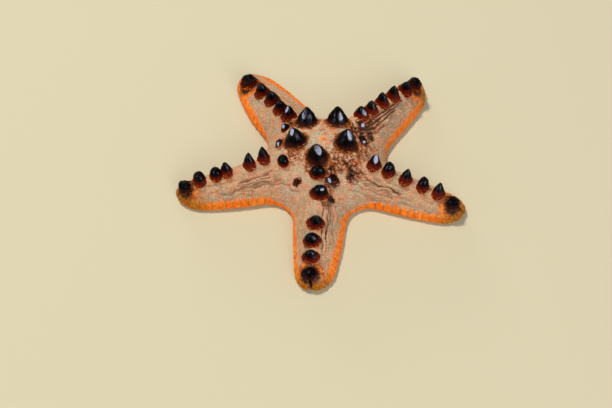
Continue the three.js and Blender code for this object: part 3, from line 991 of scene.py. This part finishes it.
def hornPiece(name, found, steps, rows, material, *nodes):
    bm = bmesh.new()
    for horn in found:
        key = horn["arm"], horn["kind"], horn["index"]
        addHorn(bm, horn, steps, rows, bluntness.get(key, 0.15), facets.get(key))
    bmesh.ops.recalc_face_normals(bm, faces=bm.faces)
    place = Matrix.Scale(mm, 4) @ Matrix.Translation(Vector(starMiddle))
    bmesh.ops.transform(bm, verts=bm.verts, matrix=place)
    mesh = meshOf(name, bm)
    mesh.materials.append(material)
    return addObject(name, mesh, "horn", *nodes)


# worn tops, from 0 for a point to 1 for a dome
bluntness = {
    ("near", "horns", 0): 0.6, ("near", "horns", 2): 0.5, ("near", "horns", 4): 1,
    ("near", "knobs", 0): 0.8, ("near", "knobs", 1): 0.9, ("near", "knobs", 2): 0.8,
    ("right", "horns", 1): 0.6, ("right", "horns", 3): 0.7, ("right", "horns", 5): 1,
    ("right", "knobs", 0): 0.9, ("right", "knobs", 1): 1,
    ("far_right", "horns", 5): 0.9,
    ("far_left", "horns", 4): 0.8, ("far_left", "knobs", 0): 0.6,
    ("left", "horns", 3): 0.9, ("left", "horns", 4): 0.8, ("left", "horns", 5): 1,
    ("left", "knobs", 0): 0.9, ("left", "knobs", 1): 0.8,
}
# sides worn flat: which way each faces, how steeply up, and how deep the wear goes in mm
facets = {
    ("near", "great", 0): (-68, 38, 1.2), ("near", "horns", 0): (-66, 37, 0.3),
    ("near", "knobs", 2): (-128, 42, 0.5),
    ("right", "great", 0): (-48, 38, 1.1), ("right", "horns", 0): (-70, 37, 1.0),
    ("right", "knobs", 1): (-66, 37, 0.6),
    ("far_right", "great", 0): (-52, 40, 0.32), ("far_right", "horns", 0): (-66, 38, 0.33),
    ("far_right", "horns", 6): (-66, 37, 0.9), ("far_right", "knobs", 0): (-66, 37, 0.6),
    ("far_left", "great", 0): (-124, 44, 0.5), ("far_left", "horns", 0): (-130, 42, 0.38),
    ("far_left", "knobs", 0): (-130, 42, 0.5),
    ("left", "great", 0): (-132, 42, 0.9), ("left", "knobs", 1): (-130, 42, 0.4),
}
# the foot's two colours and the one above, where they start and end on the way up, roughness and gloss
hornLooks = {
    "great": ("great horn", "clay", "umber", "umber", (0.02, 0.20, 0.16, 0.36), 0.3, 0.55),
    "arm": ("arm horn", "foot", "red", "red", (0.10, 0.25, 0.28, 0.52), 0.34, 0.5),
    "small": ("small knob", "clay", "cocoa", "umber", (0.0, 0.5, 0.5, 1.1), 0.34, 0.5),
    "tip": ("tip horn", "clay", "umber", "umber", (-0.3, 0.1, 0.22, 0.66), 0.3, 0.35),
    "tallTip": ("tall tip horn", "foot", "red", "umber", (0.05, 0.4, 0.45, 0.85), 0.3, 0.35),
}
hornFinishes = {key: hornFinish(*look) for key, look in hornLooks.items()}
# each kind's piece names, steps round and rows up
hornKinds = {"great": ("great_horn_", 48, 22), "arm": ("horns_", 40, 16), "small": ("small_knobs_", 32, 12),
             "tip": ("tip_horn_", 40, 14)}


def kindOf(horn):
    if horn["kind"] == "great":
        return "great"
    return "tip" if horn["tip"] else "small" if horn["small"] else "arm"


hornPieces = {}
for name in arms:
    for kind, (prefix, steps, rows) in hornKinds.items():
        found = [horn for horn in horns if horn["arm"] == name and kindOf(horn) == kind]
        if not found:
            continue
        tall = kind == "tip" and found[0]["height"] > hornShape["tallTipAbove"]
        nodes = ["horn_" + name] if kind == "great" else []
        hornPieces[name, kind] = hornPiece(prefix + name, found, steps, rows,
                                           hornFinishes["tallTip" if tall else kind], *nodes)
print("horns done")


def seedMesh(build):
    # a small closed shape, made once and repeated
    bm = bmesh.new()
    build(bm)
    bmesh.ops.recalc_face_normals(bm, faces=bm.faces)
    bmesh.ops.triangulate(bm, faces=bm.faces)
    corners = np.array([v.co for v in bm.verts])
    faces = np.array([[v.index for v in f.verts] for f in bm.faces])
    bm.free()
    return corners, faces


def frames(normals, spin):
    # three axes at each root, the third along its normal, turned by spin
    flat = np.cross(normals, np.where(np.abs(normals[:, 2:]) > 0.9, (1.0, 0, 0), (0, 0, 1.0)))
    flat /= np.linalg.norm(flat, axis=1)[:, None]
    other = np.cross(normals, flat)
    c, s = np.cos(spin)[:, None], np.sin(spin)[:, None]
    return np.stack([flat * c + other * s, other * c - flat * s, normals], 2)


def repeated(name, seed, roots, axes, sizes, mark, roomMap, material, slot="skin"):
    # one joined mesh of many copies, with the skin's marks and a small patch of the map for each
    corners, faces = seed
    count, each = len(roots), len(corners)
    points = roots[:, None] + np.einsum("nij,nvj->nvi", axes, sizes[:, None] * corners[None])
    points[..., 2] = np.maximum(points[..., 2], 0.03)
    index = (faces[None] + each * np.arange(count)[:, None, None]).reshape(-1, 3)
    mesh = bpy.data.meshes.new(name)
    mesh.from_pydata(toFrame(points.reshape(-1, 3)).tolist(), [], index.tolist())
    setMarks(mesh, {key: np.repeat(values, each) for key, values in mark.items()})
    patch = roomMap[:, None] + mapRoom["patchHalf"] * corners[None, :, :2] / np.abs(corners[:, :2]).max()
    uv = patch.reshape(-1, 2)[index.ravel()]
    mesh.uv_layers.new(name="OFBake").data.foreach_set("uv", uv.astype(np.float32).ravel())
    mesh.materials.append(material)
    print(name + ":", count, "copies,", len(index), "triangles")
    return addObject(name, mesh, slot)


# the coat of granules
coat = {"spacing": 1.02, "underSpacing": 1.5, "uneven": 0.18, "width": 0.54, "height": 0.5, "jitter": 0.16,
        "sizes": (0.82, 1.12), "oval": (0.85, 1.0), "inCrease": 0.35, "hornSizes": (0.75, 1.15)}
# for each kind of horn: how far up its granules go, their spacing, and how tall they are for their width
hornCoats = {"great": (0.24, 0.95, 0.6), "arm": (0.26, 0.95, 0.6), "small": (0.45, 0.95, 0.6),
             "tip": (1.2, 1.9, 0.62)}
fullTurn = 6.3
granule = seedMesh(lambda bm: bmesh.ops.create_icosphere(bm, subdivisions=1, radius=1))


def granuleRoots(points, spacing, allowed):
    # picks skin points in a shuffled order and keeps each that has room
    places = np.flatnonzero(allowed)
    tree = kdtree.KDTree(len(places))
    for k, i in enumerate(places):
        tree.insert(points[i], k)
    tree.balance()
    taken = np.zeros(len(places), bool)
    kept = []
    for k in dice.permutation(len(places)):
        if taken[k]:
            continue
        kept.append(places[k])
        for _, other, _ in tree.find_range(points[places[k]], spacing[places[k]]):
            taken[other] = True
    return np.array(kept)


def makeCoat():
    normals = readAll(skinPiece.data.vertices, "normal", 3)
    under = skinLie["under"]
    clear = (skinLie["gaps"] > -0.4).all(0) & (skinMark["slit"] < 0.3) & (skinMark["crease"] < 0.5)
    allowed = clear & ((under < 0.5) | (trench(skinPoints[:, 0], skinPoints[:, 1]) < 0.4))
    spacing = np.where(under > 0.5, coat["underSpacing"], coat["spacing"])
    spacing = spacing * (1 + coat["uneven"] * wobble(skinPoints, 9.0, 21))
    kept = granuleRoots(skinPoints, spacing, allowed)
    across = unrolled(skinPoints, skinLie["arm"], skinLie["u"], skinLie["v"])
    for i, name in enumerate(arms):
        for side, low in (("back", False), ("under", True)):
            here = kept[(skinLie["arm"][kept] == i) & ((under[kept] > 0.5) == low)]
            count = len(here)
            size = spacing[here] * coat["width"] * dice.uniform(*coat["sizes"], count)
            size *= 1 - coat["inCrease"] * np.clip(skinMark["crease"][here], 0, 1)
            high = size * coat["height"] * (0.7 if low else 1)
            sizes = np.stack([size, size * dice.uniform(*coat["oval"], count), high], 1)
            roots = skinPoints[here] + dice.uniform(-1, 1, (count, 3)) * coat["jitter"] * (0.6 if low else 1)
            mark = {key: values[here] for key, values in skinMark.items()}
            mark["tint"] = dice.uniform(0, 1, count)
            room = np.stack([0.5 + across[here] / mapRoom["coatWide"],
                             (skinLie["u"][here] + mapRoom["behind"]) / mapRoom["run"]], 1)
            axes = frames(normals[here], dice.uniform(0, fullTurn, count))
            repeated("granules_" + side + "_" + name, granule, roots, axes, sizes, mark, room, coatFinish)


def hornCoat():
    # granules that climb the horns' feet, and warts all over the tips' mounds
    for (name, kind), piece in hornPieces.items():
        mesh = piece.data
        points, normals = toStar(readAll(mesh.vertices, "co", 3)), readAll(mesh.vertices, "normal", 3)
        rise = readAll(mesh.attributes["rise"].data, "value")
        limit, spacing, tall = hornCoats[kind]
        allowed = (rise > -0.12) & (rise < limit * (1 + 0.5 * wobble(points, 2.0, 31)))
        kept = granuleRoots(points, np.full(len(points), spacing), allowed)
        points, normals, rise, count = points[kept], normals[kept], rise[kept], len(kept)
        size = spacing * coat["width"] * dice.uniform(*coat["hornSizes"], count)
        size = size * (1 - 0.5 * np.clip(rise / limit, 0, 1) * (kind != "tip"))
        roots = points - normals * 0.12
        turn = np.arctan2(normals[:, 1], normals[:, 0]) / (2 * np.pi) + 0.5
        nearest = np.argmin([np.hypot(roots[:, 0] - h["x"], roots[:, 1] - h["y"]) for h in horns], 0)
        cells = mapRoom["hornCells"]
        up = np.clip(rise * 0.8 + 0.12, 0, 1)
        room = np.stack([nearest % cells + turn, nearest // cells + up], 1) / cells
        mark = {"rise": rise, "tint": dice.uniform(0, 1, count), "wearAndSheen": np.zeros(count)}
        axes = frames(normals, dice.uniform(0, fullTurn, count))
        sizes = np.stack([size, size, size * tall], 1)
        repeated("granules_" + kind + "_" + name, granule, roots, axes, sizes, mark, room,
                 mesh.materials[0], "horn")


makeCoat()
hornCoat()

# the underside: two rows of spines along each furrow, tube feet in it, and jaws round the mouth
underside = {
    "from": 9.0, "toShare": 0.90, "spine": 1.55, "spineSize": (0.40, 0.32, 0.62),
    "outerSize": (0.46, 0.40, 0.40), "outerLift": 1.5,
    "foot": 1.9, "footSize": 0.62, "footToShare": 0.87, "rows": 1.25,
    "jaw": 6.6, "jawSize": (0.52, 0.40, 0.78), "jawSpines": 5, "jawTurn": 0.17,
}


def peg(bm):
    # a ball drawn out to a peg that stands on its root
    bmesh.ops.create_uvsphere(bm, u_segments=7, v_segments=6, radius=1)
    bmesh.ops.translate(bm, verts=[v for v in bm.verts if v.co.z > 0.01], vec=(0, 0, 2.4))


def tubeFoot(bm):
    # a soft column with a sucker at its end
    spun(bm, [(0, 0), (0.62, 0.0), (0.5, 0.35), (0.46, 0.7), (0.8, 0.86), (0.86, 0.95), (0.55, 1.0),
              (0, 0.94)], 8)


def tinted(name, root, end):
    # pale spines and feet, each a little different, with their own tint
    finish = Finish(name, Specular_IOR_Level=0.4, Coat_Roughness=0.2, Coat_IOR=1.45)
    small = finish.noise(1.1, 2.0, 0.6)
    colour = finish.blend(finish.mark("tint"), root, end)
    colour = finish.blend(finish.step(0.45, 0.65, small) * 0.4, colour, "amber")
    return finish.finish(Base_Color=colour, Roughness=0.45 + (small - 0.5) * 0.2, Coat_Weight=small * 0.3,
                         Normal=finish.bump(small, 0.3, 0.15))


def aimed(name, seed, rows, material):
    # rows of root, aim and size
    roots, aims, sizes = (np.array(column) for column in zip(*rows))
    aims = aims / np.linalg.norm(aims, axis=1)[:, None]
    room = 0.5 + roots[:, :2] / mapRoom["floorWide"]
    mark = {"tint": dice.uniform(0, 1, len(roots))}
    repeated(name, seed, roots, frames(aims, dice.uniform(0, 0.4, len(roots))), sizes, mark, room, material)


def slimAlong(arm, start, toShare, pitch):
    # steps out along a furrow, and how slim it is at each
    for u in np.arange(underside["from"] + start, toShare * arm["length"], pitch):
        yield u, 1 - furrow["taper"] * u / arm["length"]


def furrowSpines(arm):
    a = math.radians(arm["angle"])
    forward, left = np.array([math.cos(a), math.sin(a), 0]), np.array([-math.sin(a), math.cos(a), 0])
    rows = []
    for side in (-1, 1):
        for outer in (0, 1):
            pitch = underside["spine"] * (1 + 0.15 * outer)
            for u, slim in slimAlong(arm, 0.7 * outer, underside["toShare"], pitch):
                v = side * (furrow["halfWidth"] * slim + 0.1 + underside["outerLift"] * outer * slim)
                x, y = armPlace(arm, u + dice.uniform(-0.2, 0.2), v)
                aim = -side * left + forward * dice.uniform(-0.25, 0.25) + (0, 0, (0.02, -0.06)[outer])
                size = np.array(underside["outerSize" if outer else "spineSize"]) * (0.55 + 0.45 * slim)
                rows.append(((x, y, (1.05, 0.75)[outer]), aim, size * dice.uniform(0.85, 1.1)))
    return rows


def tubeFeet(arm):
    rows = []
    for side in (-1, 1):
        for u, slim in slimAlong(arm, 0.5 * side, underside["footToShare"], underside["foot"]):
            v = side * underside["rows"] * slim
            x, y = armPlace(arm, u + dice.uniform(-0.3, 0.3), v + dice.uniform(-0.2, 0.2))
            top = float(trench(np.array([x]), np.array([y]))[0]) + 0.3
            aim = (dice.uniform(-0.15, 0.15), dice.uniform(-0.15, 0.15), -1.0)
            wide = underside["footSize"] * (0.5 + 0.5 * slim)
            rows.append(((x, y, top), aim, (wide, wide, max(top - dice.uniform(0.6, 1.5), 0.5))))
    return rows


def jawSpines():
    order = sorted(arm["angle"] for arm in arms.values())
    rows = []
    for a, b in zip(order, order[1:] + [order[0] + 360]):
        middle = math.radians((a + b) / 2)
        for k in range(underside["jawSpines"]):
            turn = (k - (underside["jawSpines"] - 1) / 2) * underside["jawTurn"]
            aim = (-math.cos(middle + turn * 0.4), -math.sin(middle + turn * 0.4), -0.04)
            for far, high, share in ((0.0, 1.3, 1.0), (2.2, 0.95, 0.75)):
                out, size = underside["jaw"] + far, np.array(underside["jawSize"]) * share
                place = (out * math.cos(middle + turn), out * math.sin(middle + turn), high)
                rows.append((place, aim, size * dice.uniform(0.9, 1.1)))
    return rows


def makeUnderside():
    pegSeed, footSeed = seedMesh(peg), seedMesh(tubeFoot)
    spineFinish, footFinish = tinted("spines", "pale", "cream"), tinted("tube feet", "stalk", "sucker")
    for name, arm in arms.items():
        aimed("furrow_spines_" + name, pegSeed, furrowSpines(arm), spineFinish)
        aimed("tube_feet_" + name, footSeed, tubeFeet(arm), footFinish)
    aimed("jaws", pegSeed, jawSpines(), spineFinish)


makeUnderside()

# stage, light and camera
stage = {"floor": tone(200, 190, 160), "size": 6.0, "sky": (0.92, 0.96, 1.0, 1), "skyStrength": 0.32}


def addFloor():
    bm = bmesh.new()
    bmesh.ops.create_grid(bm, x_segments=1, y_segments=1, size=stage["size"] / 2)
    floor = newObject("floor", meshOf("floor", bm))
    finish = Finish("floor paper", Roughness=0.9, Specular_IOR_Level=0.2)
    floor.data.materials.append(finish.finish(Base_Color=stage["floor"]))


# a strip and a card are seen only as reflections, for the wet horns
lamps = {
    "key": {"place": (-0.95, 0.62, 2.85), "size": (0.35, 0.35), "power": 72.0, "colour": (1.0, 0.98, 0.93)},
    "back": {"place": (-0.70, 2.00, 0.60), "size": (1.0, 0.30), "power": 9.0, "colour": (0.88, 0.92, 1.0)},
    "front": {"place": (0.7, -2.1, 1.5), "size": (1.2, 1.2), "power": 29.0, "colour": (1.0, 0.99, 0.97)},
    "strip": {"place": (1.51, -1.18, 0.58), "size": (1.40, 0.56), "power": 84.0, "colour": (0.74, 0.78, 1.0)},
    "card": {"place": (-1.60, -0.75, 0.75), "size": (0.80, 0.60), "power": 44.0, "colour": (0.74, 0.78, 1.0)},
}


def addLamps():
    for name, lamp in lamps.items():
        light = bpy.data.lights.new(name, "AREA")
        light.shape = "RECTANGLE"
        light.size, light.size_y = lamp["size"]
        light.energy, light.color = lamp["power"], lamp["colour"]
        holder = newObject(name, light)
        holder.location = lamp["place"]
        holder.rotation_euler = (-Vector(lamp["place"])).to_track_quat("-Z", "Y").to_euler()
        holder.visible_diffuse = name not in ("strip", "card")
    world = bpy.data.worlds.new("studio")
    world.use_nodes = True
    sky = world.node_tree.nodes["Background"].inputs
    sky["Color"].default_value, sky["Strength"].default_value = stage["sky"], stage["skyStrength"]
    bpy.context.scene.world = world


camera = {"lens": 76.8, "elevation": 51.5, "distance": 0.9, "target": (-0.0096, -0.0219, 0.0)}


def addCamera():
    tilt = math.radians(camera["elevation"])
    target = Vector(camera["target"])
    holder = newObject("camera", bpy.data.cameras.new("camera"))
    holder.data.lens, holder.data.sensor_width = camera["lens"], 36
    holder.location = target + camera["distance"] * Vector((0, -math.cos(tilt), math.sin(tilt)))
    holder.rotation_euler = (math.pi / 2 - tilt, 0, 0)
    bpy.context.scene.camera = holder


addFloor()
addLamps()
addCamera()
bpy.context.scene.view_settings.view_transform = "Standard"

print("stage set")
